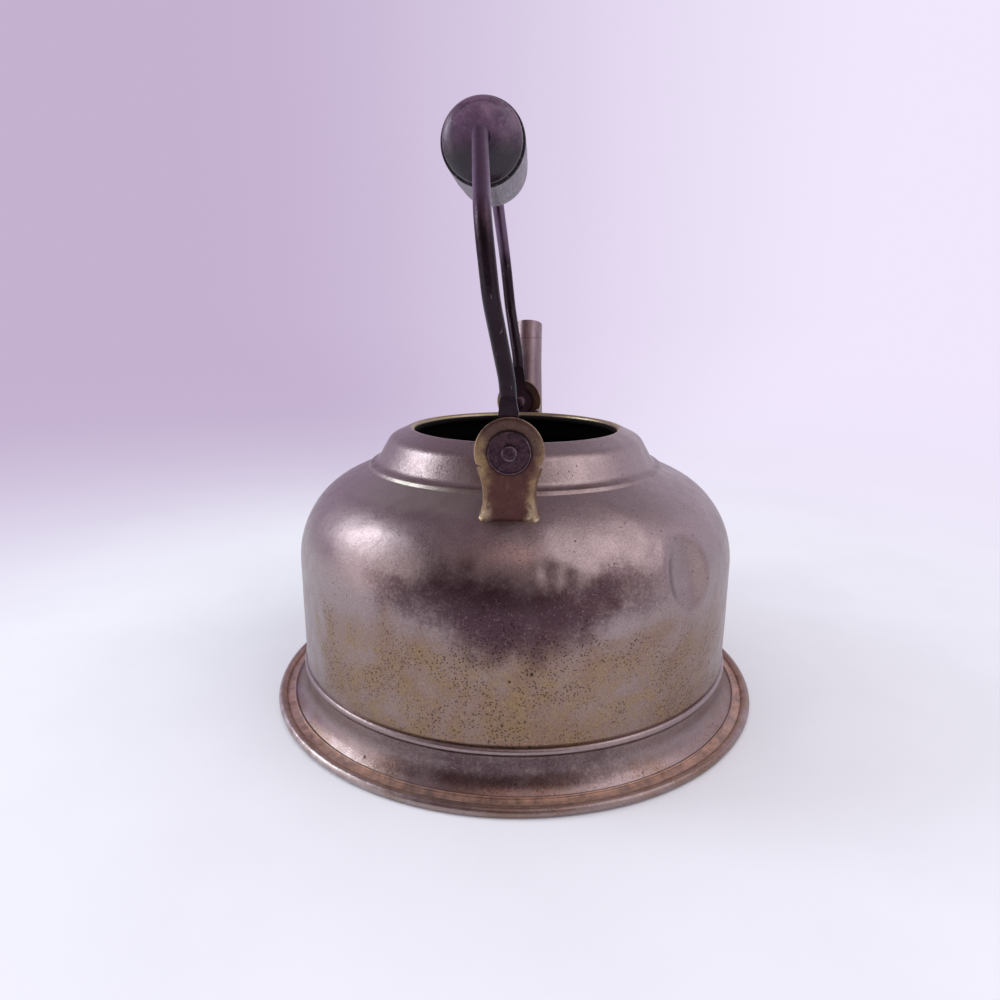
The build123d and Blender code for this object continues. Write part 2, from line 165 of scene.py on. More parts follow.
class Finish:
    """The nodes of a material or a world, added one by one on its coordinates."""

    def __init__(self, owner, place="Object"):
        owner.use_nodes = True
        self.owner = owner
        self.tree = owner.node_tree
        self.tree.nodes.clear()
        self.place = self.node("ShaderNodeTexCoord").outputs[place]

    def node(self, kind, inputs=None, **settings):
        """Adds a node, with its settings, and its inputs linked or set."""
        made = self.tree.nodes.new(kind)
        for key, value in settings.items():
            setattr(made, key, value)
        for socket, value in (inputs or {}).items():
            self.feed(made.inputs[socket], value)
        return made

    def feed(self, socket, value):
        """Links an output to the socket, or sets its value."""
        if isinstance(value, bpy.types.NodeSocket):
            self.tree.links.new(value, socket)
        elif socket.type == "RGBA" and len(value) == 3:
            socket.default_value = (*value, 1.0)
        else:
            socket.default_value = value

    def calc(self, kind, first, second=0.0):
        """One step of arithmetic."""
        return self.node("ShaderNodeMath", {0: first, 1: second}, operation=kind).outputs[0]

    def plus(self, first, second):
        return self.calc("ADD", first, second)

    def minus(self, first, second):
        return self.calc("SUBTRACT", first, second)

    def times(self, first, second):
        return self.calc("MULTIPLY", first, second)

    def larger(self, first, second):
        return self.calc("MAXIMUM", first, second)

    def sway(self, cloud, width):
        """Soft noise, centred on nothing and made that wide."""
        return self.times(self.minus(cloud, 0.5), width)

    def length(self, across, along):
        """How far a point is from the middle, from its two distances."""
        return self.calc("SQRT", self.plus(self.times(across, across), self.times(along, along)))

    def grain(self, size, detail=4.0, rough=0.55, place=None, swirl=0.0):
        """Soft noise whose spots are about that many millimetres."""
        inputs = {"Vector": place or self.place, "Scale": 1 / (size * MM)}
        inputs.update({"Detail": detail, "Roughness": rough, "Distortion": swirl})
        return self.node("ShaderNodeTexNoise", inputs).outputs["Fac"]

    def pits(self, size):
        """Distance to the nearest of scattered points about that many millimetres apart, as a share of it."""
        inputs = {"Vector": self.place, "Scale": 1 / (size * MM), "Randomness": 1.0}
        return self.node("ShaderNodeTexVoronoi", inputs).outputs["Distance"]

    def ease(self, value, low, high, start=0.0, end=1.0):
        """From start to end, smoothly, as the value goes from low to high."""
        inputs = {"Value": value, "From Min": low, "From Max": high, "To Min": start, "To Max": end}
        return self.node("ShaderNodeMapRange", inputs, interpolation_type="SMOOTHSTEP").outputs["Result"]

    def band(self, value, low, high, soft):
        """One between two values, fading over soft outside them."""
        rise = self.ease(value, low - soft, low)
        return self.times(rise, self.ease(value, high, high + soft, 1.0, 0.0))

    def blend(self, share, first, second):
        """A mix of two colours."""
        made = self.node("ShaderNodeMix", data_type="RGBA")
        self.feed(made.inputs["Factor"], share)
        self.feed(made.inputs[6], first)
        self.feed(made.inputs[7], second)
        return made.outputs[2]

    def split(self, place=None):
        """The three coordinates."""
        return self.node("ShaderNodeSeparateXYZ", {0: place or self.place}).outputs

    def around(self):
        """Distance from the kettle's axis, turn round it from the back towards +X in radians, and height."""
        x, y, z = self.split()
        return self.length(x, y), self.calc("ARCTAN2", x, self.times(y, -1.0)), z

    def spot(self, centre, reach, soft):
        """One at a point, fading to nothing at a distance in millimetres."""
        ends = {0: self.place, 1: centre}
        far = self.node("ShaderNodeVectorMath", ends, operation="DISTANCE").outputs["Value"]
        return self.ease(far, reach * (1 - soft) * MM, reach * MM, 1.0, 0.0)

    def shifted(self, offset=(0, 0, 0), turn=(0, 0, 0), scale=(1, 1, 1), place=None):
        """The coordinates, moved first, then scaled and turned."""
        start = place or self.place
        moved = self.node("ShaderNodeVectorMath", {0: start, 1: offset}, operation="ADD").outputs[0]
        return self.node("ShaderNodeMapping", {"Vector": moved, "Rotation": turn, "Scale": scale}).outputs[0]

    def bump(self, height, depth, strength=1.0, under=None):
        """A surface that stands out by that many millimetres where the height is one."""
        inputs = {"Strength": strength, "Distance": depth * MM, "Height": height}
        if under:
            inputs["Normal"] = under
        return self.node("ShaderNodeBump", inputs).outputs["Normal"]

    def done(self, colour, roughness, normal, metallic=1.0, **constants):
        """Closes the material with its surface."""
        surface = self.node("ShaderNodeBsdfPrincipled")
        self.feed(surface.inputs["Base Color"], colour)
        self.feed(surface.inputs["Roughness"], roughness)
        self.feed(surface.inputs["Metallic"], metallic)
        self.feed(surface.inputs["Normal"], normal)
        for name, value in constants.items():
            surface.inputs[name.replace("_", " ")].default_value = value
        out = self.node("ShaderNodeOutputMaterial")
        self.tree.links.new(surface.outputs[0], out.inputs["Surface"])
        return self.owner


def new_finish(name):
    """Starts a material."""
    return Finish(bpy.data.materials.new(name))


def place_piece(name, bm, body, materials, replaces):
    """Turns a bmesh into a piece that rides on a body, in place of a solid."""
    mesh = bpy.data.meshes.new(name)
    bm.to_mesh(mesh)
    bm.free()
    mesh.polygons.foreach_set("use_smooth", [True] * len(mesh.polygons))
    piece = bpy.data.objects.new(name, mesh)
    bpy.context.scene.collection.objects.link(piece)
    for material in materials:
        mesh.materials.append(material)
    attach(piece, body)
    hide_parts(*replaces)


def paint_node(node, material):
    """Gives a solid of the frame its finish."""
    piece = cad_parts[node]
    piece.data.materials.clear()
    piece.data.materials.append(material)


def draw_outline(bm, corners, rounds, steps):
    """Draws a line with round corners in the XZ plane, in millimetres, as joined edges."""
    points = [Vector((x * MM, 0.0, z * MM)) for x, z in corners]
    line = [bm.verts.new(points[0])]

    def draw_to(point):
        grown = bmesh.ops.extrude_vert_indiv(bm, verts=[line[-1]])["verts"][0]
        grown.co = point
        line.append(grown)

    for before, corner, after, round_size in zip(points, points[1:], points[2:], rounds):
        way_in = (corner - before).normalized()
        way_out = (after - corner).normalized()
        turn = way_in.angle(way_out)
        reach = round_size * MM * math.tan(turn / 2)
        draw_to(corner - way_in * reach)
        side = way_in.cross(way_out).normalized()
        centre = line[-1].co + side.cross(way_in) * round_size * MM
        last = line[-1]
        bmesh.ops.spin(bm, geom=[last], cent=centre, axis=side, angle=turn, steps=steps)
        known = set(line)
        fresh = [v for v in bm.verts if v not in known]
        fresh.sort(key=lambda v: (v.co - last.co).length)
        line.extend(fresh)
    draw_to(points[-1])


def split_long(bm, longest, spacing):
    """Divides the edges that are longer than so many millimetres, for even faces."""
    for edge in [e for e in bm.edges if e.calc_length() > longest * MM]:
        bmesh.ops.subdivide_edges(bm, edges=[edge], cuts=int(edge.calc_length() / (spacing * MM)))


def spin_whole(bm, steps):
    """Spins the drawn line once round the upright axis into a closed skin whose faces look outwards."""
    bmesh.ops.spin(
        bm, geom=bm.verts[:] + bm.edges[:], cent=(0, 0, 0), axis=(0, 0, 1),
        angle=2 * math.pi, steps=steps, use_merge=True,
    )
    bmesh.ops.remove_doubles(bm, verts=bm.verts[:], dist=1e-6)
    bmesh.ops.recalc_face_normals(bm, faces=bm.faces[:])
    widest = max(bm.faces, key=lambda f: f.calc_center_median().xy.length)
    if widest.normal.xy.dot(widest.calc_center_median().xy) < 0:
        bmesh.ops.reverse_faces(bm, faces=bm.faces[:])


def soften_sheet(bm, waviness, dents=()):
    """Makes a spun sheet uneven, as an old one is, and dents it, along its normals."""
    bm.normal_update()
    moves = []
    for vert in bm.verts:
        where = vert.co
        turn = math.atan2(where.x, -where.y)
        depth = waviness * (noise.noise(where * BROAD_WAVES) + 0.4 * noise.noise(where * SMALL_WAVES))
        for angle, height, half_width, half_height, deep in dents:
            across = (turn - math.radians(angle) + math.pi) % (2 * math.pi) - math.pi
            u = across * math.hypot(where.x, where.y) / (half_width * MM)
            v = (where.z - height * MM) / (half_height * MM)
            reach = u * u + v * v
            if reach < 4:
                # A low rim stands round each hollow
                depth -= deep * MM * (math.exp(-reach * reach) - 0.12 * math.exp(-4 * (reach - 1.6) ** 2))
        moves.append(vert.normal * depth)
    for vert, move in zip(bm.verts, moves):
        vert.co += move
    bm.normal_update()


def colour_prop(name, description, default):
    """A colour that a user may change."""
    return FloatVectorProperty(
        name=name, description=description, subtype="COLOR", size=3, min=0, max=1, default=default
    )


class PlateSettings(bpy.types.PropertyGroup):
    """Colours and wear of the plated sheet."""

    plate: colour_prop("Plate", "Worn plating", tint(160, 144, 143))
    warm: colour_prop("Warm plate", "Plating worn thin", tint(146, 120, 104))
    brass: colour_prop("Brass", "Brass where the plating is gone", tint(160, 134, 92))
    # Tarnish colour, also used for the painted shade and painted reflection of the dark band, the dent, the
    # foot's cove and the edge next to the floor
    tarnish_and_shade: colour_prop("Tarnish", "Dark tarnish", tint(78, 54, 62))
    specks: colour_prop("Specks", "Pits in the plating", tint(56, 41, 38))
    inside: colour_prop("Inside", "The kettle's inner wall", tint(30, 24, 22))
    waviness: FloatProperty(
        name="Waviness", description="How uneven the sheet is",
        unit="LENGTH", min=0, max=0.001, default=0.00016,
    )


class EarSettings(bpy.types.PropertyGroup):
    """Colours of the ears."""

    dark: colour_prop("Dark", "Darkened brass", tint(86, 57, 54))
    brass: colour_prop("Brass", "Brass of the folds", tint(148, 122, 92))


class SteelSettings(bpy.types.PropertyGroup):
    """Colours of the bail and the pivots."""

    steel: colour_prop("Steel", "Dark steel", tint(80, 63, 76))
    rust: colour_prop("Rust", "Reddish brown patches", tint(74, 48, 46))
    worn: colour_prop("Worn", "Bare metal at rims and scratches", tint(150, 140, 146))


class GripSettings(bpy.types.PropertyGroup):
    """Colours of the grip."""

    stain: colour_prop("Stain", "Dark stained wood", tint(80, 58, 82))
    barrel: colour_prop("Barrel", "Handled wood of the barrel", tint(92, 78, 88))


class StageSettings(bpy.types.PropertyGroup):
    """Floor, background and lamps."""

    floor: colour_prop("Floor", "Floor", (0.89, 0.90, 0.95))
    wall_left: colour_prop("Background left", "Background on the left", tint(196, 177, 208))
    wall_right: colour_prop("Background right", "Background on the right", tint(240, 231, 252))
    room: colour_prop("Room", "The dim side of the room, behind the camera", tint(111, 90, 96))
    window: FloatProperty(name="Window", description="Watts of the lamp on the left", min=0, default=2.7)
    fill: FloatProperty(name="Fill", description="Watts of the lamp on the right", min=0, default=2.5)
    glow: FloatProperty(name="Glow", description="Watts of the small warm lamp above", min=0, default=0.35)
    low: FloatProperty(name="Low lamps", description="Watts of each low lamp at the side", min=0, default=1.4)
    sky: FloatProperty(name="Sky", description="Strength of the even light", min=0, default=0.72)


def plate_finish(name, settings, thin, bare, dark, pitting, rough, trim=None, matte=None):
    """Worn plating over brass. The functions say where it is thin, bare, dark, trimmed and matte."""
    f = new_finish(name)
    radius, turn, height = f.around()
    broad = f.grain(24, 5, 0.6, swirl=0.6)
    middle = f.grain(6, 5, 0.62)
    fine = f.grain(0.9, 3, 0.6)
    dust = f.grain(0.42, 2, 0.7)
    thinned = f.ease(f.plus(thin(f, radius, turn, height), f.sway(broad, 2.2)), 0.1, 0.95)
    shade = f.blend(thinned, settings.plate, settings.warm)
    bared = f.plus(bare(f, radius, turn, height), f.sway(middle, 1.9))
    bared = f.plus(bared, f.sway(fine, 1.5))
    bared = f.ease(bared, 0.25, 1.15, 0.0, 0.8)
    colour = f.blend(bared, shade, settings.brass)
    # Darkened with tarnish, and with the painted shade and painted reflection that the dark functions give
    darkened = f.plus(dark(f, radius, turn, height), f.sway(f.grain(9, 6, 0.7), 1.0))
    darkened = f.plus(darkened, f.sway(fine, 0.9))
    darkened = f.ease(darkened, 0.15, 1.15, 0.0, 0.95)
    colour = f.blend(darkened, colour, settings.tarnish_and_shade)
    # Fine dust-like grain everywhere, dense small pits where the plating is thin, and scattered larger ones
    colour = f.blend(f.ease(dust, 0.40, 0.66, 0.0, 0.26), colour, settings.specks)
    colour = f.blend(f.ease(fine, 0.56, 0.72, 0.0, 0.2), colour, tint(190, 172, 168))
    ragged = f.sway(dust, 0.22)
    thick = f.plus(f.grain(11, 4, 0.65), f.times(thinned, 0.26))
    thick = f.ease(thick, 0.42, 0.8, 0.02, 0.34)
    small = f.ease(f.minus(f.plus(f.pits(0.85), ragged), thick), -0.10, 0.02, 0.9, 0.0)
    some = f.ease(f.grain(5, 3, 0.7), 0.48, 0.6)
    large = f.times(f.ease(f.plus(f.pits(2.4), ragged), 0.06, 0.15, 1.0, 0.0), some)
    blots = f.plus(f.pits(9.0), f.times(ragged, 0.5))
    blots = f.times(f.ease(blots, 0.025, 0.065, 1.0, 0.0), f.ease(broad, 0.42, 0.5))
    pitted = f.times(f.larger(small, large), pitting)
    pitted = f.larger(pitted, blots)
    colour = f.blend(f.times(pitted, 0.85), colour, tint(36, 24, 22))
    scratches = f.grain(0.55, 2, 0.5, place=f.shifted(turn=(0.3, 0.9, 0.5), scale=(0.035, 1, 1)))
    scratched = f.times(f.ease(scratches, 0.70, 0.76), f.ease(broad, 0.4, 0.6, 0.0, 0.5))
    colour = f.blend(scratched, colour, tint(196, 184, 186))
    if trim:
        colour = trim(f, radius, turn, height, colour)
    sheen = f.ease(middle, 0.3, 0.7, rough - 0.05, rough + 0.07)
    sheen = f.plus(sheen, f.times(pitted, 0.2))
    sheen = f.plus(sheen, f.times(darkened, 0.05))
    if matte:
        sheen = f.plus(sheen, matte(f, radius, turn, height))
    relief = f.minus(f.times(dust, 0.7), f.times(pitted, 0.5))
    normal = f.bump(relief, 0.07, under=f.bump(middle, 0.16))
    return f.done(colour, sheen, normal)


def body_finish(settings):
    """The body: brass low on the wall, a dark band under the shoulder that is part tarnish and part painted
    reflection, painted shade at the big dent and in the neck crease, a painted highlight beside the neck, a
    lip of polished brass.
    """

    def thin(f, radius, turn, height):
        low = f.ease(height, 0.064, 0.036, -0.2, 0.72)
        facing = f.ease(f.calc("ABSOLUTE", f.minus(turn, 0.1)), 0.6, 1.4, 1.0, 0.15)
        return f.times(low, facing)

    def bare(f, radius, turn, height):
        low = f.ease(height, 0.058, 0.034, -0.3, 0.55)
        facing = f.ease(f.calc("ABSOLUTE", f.plus(turn, 0.05)), 0.5, 1.35, 1.0, 0.2)
        return f.times(low, facing)

    def dark(f, radius, turn, height):
        # The dark band under the shoulder, only in front and strongest at the middle: part tarnish, part
        # painted reflection of the dim room
        sway = f.sway(f.grain(22, 4, 0.6), 0.022)
        wavy = f.plus(height, sway)
        depth = f.ease(f.calc("ABSOLUTE", turn), 0.05, 0.6, 0.0455, 0.0535)
        soft = f.ease(f.minus(wavy, depth), -0.013, 0.005)
        under = f.times(soft, f.ease(wavy, 0.0565, 0.0670, 1.0, 0.0))
        left = f.ease(turn, -0.85, -0.35, 0.0, 1.0)
        right = f.ease(turn, 0.45, 0.78, 1.0, 0.1)
        strong = f.ease(f.calc("ABSOLUTE", f.minus(turn, 0.05)), 0.1, 0.42, 1.15, 0.86)
        under = f.times(f.times(under, f.times(left, right)), strong)
        # Painted shade: a dark ring at the rim of the big dent, stronger on its left side
        painted_dent_shade = f.minus(f.spot(DENT_CENTRE, 11.5, 0.35), f.spot(DENT_CENTRE, 8.6, 0.45))
        painted_dent_shade = f.times(painted_dent_shade, f.ease(turn, 0.80, 0.66, 0.1, 0.7))
        return f.larger(under, painted_dent_shade)

    def trim(f, radius, turn, height, colour):
        lip = f.times(f.ease(radius, 0.0356, 0.0348), f.ease(height, 0.0892, 0.0897))
        worn = f.times(lip, f.ease(f.grain(4, 4), 0.3, 0.6, 0.5, 1.0))
        # Painted shade in the crease at the foot of the neck
        crease = f.times(f.band(radius, 0.0474, 0.0482, 0.0014), f.ease(height, 0.076, 0.077))
        crease = f.times(crease, f.ease(f.grain(5, 4), 0.3, 0.7, 0.15, 0.5))
        colour = f.blend(crease, colour, tint(112, 86, 78))
        # Painted highlight: paler on the shoulder just below the neck, on the left front where the window
        # lamp's light falls
        beside = f.ease(f.calc("ABSOLUTE", f.plus(turn, 0.55)), 0.15, 0.7, 0.5, 0.0)
        painted_neck_highlight = f.times(f.band(radius, 0.0495, 0.0560, 0.004), beside)
        colour = f.blend(painted_neck_highlight, colour, tint(178, 176, 160))
        return f.blend(worn, colour, tint(176, 162, 118))

    return plate_finish("body_plate_worn", settings, thin, bare, dark, pitting=0.8, rough=0.35, trim=trim)


def foot_finish(settings):
    """The foot: painted shade in its cove and under the rolled edge; brass on the band and the rolled edge,
    painted paler where light falls on the band and on the left of the edge.
    """

    def thin(f, radius, turn, height):
        return f.ease(height, 0.012, 0.003, -0.4, 0.45)

    def bare(f, radius, turn, height):
        band = f.times(f.band(radius, 0.0768, 0.0812, 0.0006), 0.45)
        edge = f.times(f.ease(radius, 0.0812, 0.0818), f.ease(turn, 0.4, -0.8, 0.0, 0.35))
        return f.larger(band, edge)

    def dark(f, radius, turn, height):
        # Painted shade in the cove, strongest in front
        cove = f.band(height, 0.0045, 0.0112, 0.0022)
        cove = f.times(cove, f.ease(f.calc("ABSOLUTE", turn), 0.15, 0.85, 0.75, 0.0))
        # Painted shade under the rolled edge, next to the floor
        under = f.times(f.ease(height, 0.0009, 0.0001, 0.0, 0.7), f.ease(radius, 0.081, 0.0815))
        return f.larger(cove, under)

    def trim(f, radius, turn, height, colour):
        # The flat band: worn brass, painted paler and warmer with the light it catches, in patches
        band = f.times(f.band(radius, 0.0772, 0.0812, 0.0003), f.ease(height, 0.0032, 0.0026))
        light_and_wear_patches = f.ease(f.grain(3, 5, 0.65), 0.3, 0.65, 0.2, 0.85)
        colour = f.blend(f.times(band, light_and_wear_patches), colour, tint(224, 192, 172))
        # Painted highlight on the left of the rolled edge
        edge = f.times(f.ease(radius, 0.0812, 0.0818), f.ease(turn, 0.1, -0.9, 0.0, 0.85))
        return f.blend(f.times(edge, light_and_wear_patches), colour, tint(204, 196, 194))

    def matte(f, radius, turn, height):
        return f.times(f.band(radius, 0.0772, 0.0812, 0.0003), 0.2)

    return plate_finish(
        "foot_plate_worn", settings, thin, bare, dark, pitting=0.4, rough=0.34, trim=trim, matte=matte,
    )


def spout_finish(settings):
    """The spout: lilac-grey plating with streaks along it and faint rings near its end."""

    def thin(f, radius, turn, height):
        return f.ease(height, 0.03, 0.115, 0.3, 0.15)

    def bare(f, radius, turn, height):
        return f.ease(height, 0.03, 0.115, 0.3, -0.4)

    def dark(f, radius, turn, height):
        streaks = f.grain(2.2, 3, 0.6, place=f.shifted(scale=(1, 1, 0.06)))
        rings = f.times(f.band(height, 0.1165, 0.1168, 0.0003), 0.8)
        return f.larger(f.ease(streaks, 0.35, 0.7, 0.0, 0.6), rings)

    def trim(f, radius, turn, height, colour):
        return f.blend(f.ease(height, 0.06, 0.10, 0.0, 0.5), colour, tint(130, 110, 122))

    return plate_finish("spout_plate_worn", settings, thin, bare, dark, pitting=0.3, rough=0.36, trim=trim)


def pan_finish(settings):
    """The bottom pan: dull and darkened by heat."""

    def thin(f, radius, turn, height):
        return f.ease(radius, 0.0, 0.07, 0.7, 0.4)

    def bare(f, radius, turn, height):
        return f.ease(radius, 0.0, 0.07, 0.5, 0.2)

    def dark(f, radius, turn, height):
        return f.ease(f.grain(18, 5, 0.6), 0.3, 0.7, 0.3, 0.9)

    return plate_finish("pan_plate_heated", settings, thin, bare, dark, pitting=0.8, rough=0.5)


def inside_finish(settings):
    """The inner wall: nearly black, with a faint cloud and fine bumps."""
    f = new_finish("body_inside_dark")
    cloud = f.grain(8, 5, 0.6)
    colour = f.blend(f.ease(cloud, 0.3, 0.7), settings.inside, tint(22, 18, 16))
    normal = f.bump(f.grain(1.2, 4, 0.6), 0.12)
    return f.done(colour, f.ease(cloud, 0.3, 0.7, 0.6, 0.8), normal, metallic=0.4)


def ear_finish(settings, name):
    """An ear's darkened brass, brighter on its folds and round the edge of its head, with a painted highlight
    on the folds near the foot and a painted shadow round the disc.
    """
    f = new_finish(name)
    x, y, z = f.split()
    high = f.minus(z, PIVOT_HEIGHT)
    out = f.length(x, high)
    wide = f.calc("ABSOLUTE", x)
    cloud = f.grain(3.2, 5, 0.62, swirl=0.5)
    fine = f.grain(0.6, 3, 0.6)
    sway = f.sway(f.grain(4, 3, 0.6), 0.005)
    swayed = f.plus(wide, sway)
    folds = f.times(f.ease(swayed, 0.0036, 0.0074), f.ease(high, -0.003, -0.009, 0.0, 0.95))
    left = f.times(f.ease(f.minus(x, sway), -0.0042, -0.0080), f.band(high, -0.006, 0.003, 0.005))
    right = f.times(f.ease(f.plus(x, sway), 0.0054, 0.0086, 0.0, 0.7), f.band(high, -0.006, 0.002, 0.004))
    bright = f.larger(folds, f.larger(left, right))
    bright = f.plus(bright, f.sway(cloud, 1.5))
    bright = f.plus(bright, f.sway(fine, 0.8))
    bright = f.ease(bright, -0.1, 1.25)
    upper = f.ease(f.plus(high, f.times(cloud, 0.006)), -0.004, 0.006)
    dark = f.blend(upper, settings.dark, tint(94, 73, 68))
    colour = f.blend(bright, dark, settings.brass)
    # Painted highlight on the folds near the foot
    pale = f.times(folds, f.ease(high, -0.011, -0.0155, 0.0, 0.7))
    colour = f.blend(f.times(pale, f.ease(cloud, 0.35, 0.6)), colour, tint(190, 172, 148))
    colour = f.blend(f.ease(fine, 0.5, 0.75, 0.0, 0.5), colour, tint(52, 34, 32))
    dots = f.times(f.ease(f.pits(1.3), 0.10, 0.2, 1.0, 0.0), f.ease(cloud, 0.5, 0.58))
    colour = f.blend(f.times(dots, 0.6), colour, tint(40, 26, 24))
    edge = f.times(f.ease(out, 0.00885, 0.00908), f.ease(high, -0.0042, -0.0032))
    colour = f.blend(f.times(edge, f.ease(cloud, 0.3, 0.6, 0.1, 0.5)), colour, tint(170, 150, 136))
    shadow = f.ease(out, 0.0056, 0.0066, 0.8, 0.0)
    colour = f.blend(shadow, colour, tint(44, 26, 28))
    rough = f.plus(f.ease(bright, 0.0, 1.0, 0.42, 0.33), f.times(shadow, 0.15))
    normal = f.bump(f.grain(0.5, 4, 0.65), 0.05, under=f.bump(cloud, 0.12))
    return f.done(colour, rough, normal)


def pivot_finish(settings, name):
    """A pivot's disc and rivet: nearly black, with bare rims and an even wear."""
    f = new_finish(name)
    x, y, z = f.split()
    high = f.minus(z, PIVOT_HEIGHT)
    out = f.length(x, high)
    cloud = f.grain(1.6, 5, 0.65)
    colour = f.blend(f.ease(cloud, 0.35, 0.7), tint(58, 41, 50), tint(84, 62, 68))
    rim = f.times(f.band(out, 0.00545, 0.0056, 0.00006), f.ease(f.minus(x, high), -0.008, 0.004, 0.1, 0.6))
    head = f.times(f.band(out, 0.0017, 0.0019, 0.00015), 0.4)
    bare = f.times(f.larger(rim, head), f.ease(cloud, 0.35, 0.6, 0.2, 1.0))
    rubbed = f.ease(f.grain(0.7, 4, 0.65), 0.56, 0.70, 0.0, 0.22)
    bare = f.larger(bare, rubbed)
    colour = f.blend(bare, colour, settings.worn)
    normal = f.bump(f.grain(0.5, 4, 0.65), 0.06)
    return f.done(colour, f.ease(bare, 0.0, 1.0, 0.46, 0.32), normal)


def steel_finish(settings):
    """The bail: dark steel with reddish patches, fine pits, a few pale scratches and a painted lilac
    reflection along its top.
    """
    f = new_finish("bail_steel_dark")
    cloud = f.grain(9, 5, 0.6, swirl=0.4)
    fine = f.grain(0.9, 4, 0.65)
    colour = f.blend(f.ease(cloud, 0.45, 0.7, 0.0, 0.8), settings.steel, settings.rust)
    colour = f.blend(f.ease(fine, 0.52, 0.72, 0.0, 0.55), colour, tint(36, 27, 34))
    height = f.split()[2]
    low = f.band(height, 0.106, 0.142, 0.014)
    colour = f.blend(f.times(low, 0.85), colour, tint(34, 27, 32))
    # Painted reflection: the top of the rod lighter and lilac, as the pale backdrop mirrored there
    painted_lilac_reflection = f.times(f.ease(height, 0.146, 0.156), 0.6)
    colour = f.blend(painted_lilac_reflection, colour, tint(112, 88, 116))
    along = f.shifted(scale=(1, 1, 0.12))
    pale = f.ease(f.grain(0.8, 2, 0.5, place=along), 0.70, 0.76, 0.0, 0.35)
    colour = f.blend(pale, colour, settings.worn)
    scratch = f.spot((-0.0090, -0.0420, 0.1690), 1.5, 0.6)
    colour = f.blend(f.times(scratch, f.ease(fine, 0.4, 0.6, 0.2, 0.8)), colour, settings.worn)
    normal = f.bump(f.grain(0.8, 4, 0.65), 0.05, under=f.bump(f.grain(4, 3), 0.18))
    return f.done(colour, f.ease(cloud, 0.3, 0.7, 0.27, 0.4), normal, metallic=0.95)


def wood_finish(settings):
    """The grip: stained and polished, with fine lines along it, worn edges and painted shade under it."""
    f = new_finish("grip_wood_stained")
    turn = GRIP_AXIS.rotation_difference(Vector((1, 0, 0))).to_euler()
    local = f.shifted(offset=tuple(-GRIP_CENTRE), turn=tuple(turn))
    along, v, w = f.split(local)
    out = f.length(v, w)
    from_middle = f.calc("ABSOLUTE", along)
    lines = f.grain(0.45, 3, 0.6, place=f.shifted(scale=(0.03, 1, 1), place=local))
    cloud = f.grain(5, 5, 0.6, place=local, swirl=0.5)
    barrel = f.ease(from_middle, 0.0228, 0.0224)
    colour = f.blend(f.ease(cloud, 0.35, 0.7), settings.stain, tint(104, 76, 100))
    handled = f.blend(f.ease(lines, 0.35, 0.65), settings.barrel, tint(132, 118, 132))
    colour = f.blend(barrel, colour, handled)
    groove = f.band(from_middle, 0.0227, 0.0249, 0.0001)
    colour = f.blend(groove, colour, tint(16, 8, 20))
    line = f.times(f.band(along, 0.01282, 0.01308, 0.0001), f.ease(out, 0.0114, 0.0116))
    colour = f.blend(f.times(line, 0.9), colour, tint(26, 17, 24))
    rim = f.times(f.ease(out, 0.0107, 0.0110), f.ease(from_middle, 0.0249, 0.0251))
    colour = f.blend(f.times(rim, f.ease(cloud, 0.3, 0.6, 0.2, 0.7)), colour, tint(112, 92, 98))
    worn = f.grain(1.3, 4, 0.65, place=local)
    scuffs = f.ease(worn, 0.52, 0.66, 0.0, 0.55)
    colour = f.blend(f.times(scuffs, f.ease(out, 0.003, 0.009, 0.0, 0.8)), colour, tint(128, 108, 120))
    ring = f.times(f.band(out, 0.0092, 0.0096, 0.0004), f.ease(from_middle, 0.0250, 0.0254))
    colour = f.blend(f.times(ring, f.ease(w, 0.002, 0.006, 0.0, 0.3)), colour, tint(24, 14, 18))
    # Painted shade under the grip, strongest on its end caps
    under = f.times(f.ease(w, 0.004, -0.005), f.ease(from_middle, 0.0246, 0.0250, 0.25, 0.95))
    colour = f.blend(f.times(under, 0.95), colour, tint(18, 11, 19))
    rough = f.plus(f.ease(worn, 0.35, 0.65, 0.24, 0.42), f.times(barrel, 0.1))
    rough = f.plus(rough, f.times(groove, 0.4))
    normal = f.bump(f.times(lines, f.ease(barrel, 0.0, 1.0, 0.2, 1.0)), 0.08, under=f.bump(cloud, 0.2))
    return f.done(
        colour, rough, normal, metallic=0.0, Specular_IOR_Level=0.4, Coat_Weight=0.06, Coat_Roughness=0.2,
    )


def shoulder_height(radius):
    """Height of the body's outside at a distance from the axis, on the shoulder, in millimetres."""
    tangent = SHOULDER_CENTRE[0] + SHOULDER_ROUND * math.sin(math.radians(SHOULDER_SLOPE))
    if radius > tangent:
        return SHOULDER_CENTRE[1] + math.sqrt(SHOULDER_ROUND**2 - (radius - SHOULDER_CENTRE[0]) ** 2)
    fall = math.tan(math.radians(SHOULDER_SLOPE)) * (tangent - radius)
    return SHOULDER_CENTRE[1] + SHOULDER_ROUND * math.cos(math.radians(SHOULDER_SLOPE)) + fall


def ear_half_width(drop):
    """Half of the ear's width at a height below its pivot: the curve through shoulder, waist and foot."""
    (w0, h0), (w1, h1), (w2, h2) = EAR_OUTLINE
    first = w0 * (drop - h1) * (drop - h2) / ((h0 - h1) * (h0 - h2))
    second = w1 * (drop - h0) * (drop - h2) / ((h1 - h0) * (h1 - h2))
    return first + second + w2 * (drop - h0) * (drop - h1) / ((h2 - h0) * (h2 - h1))


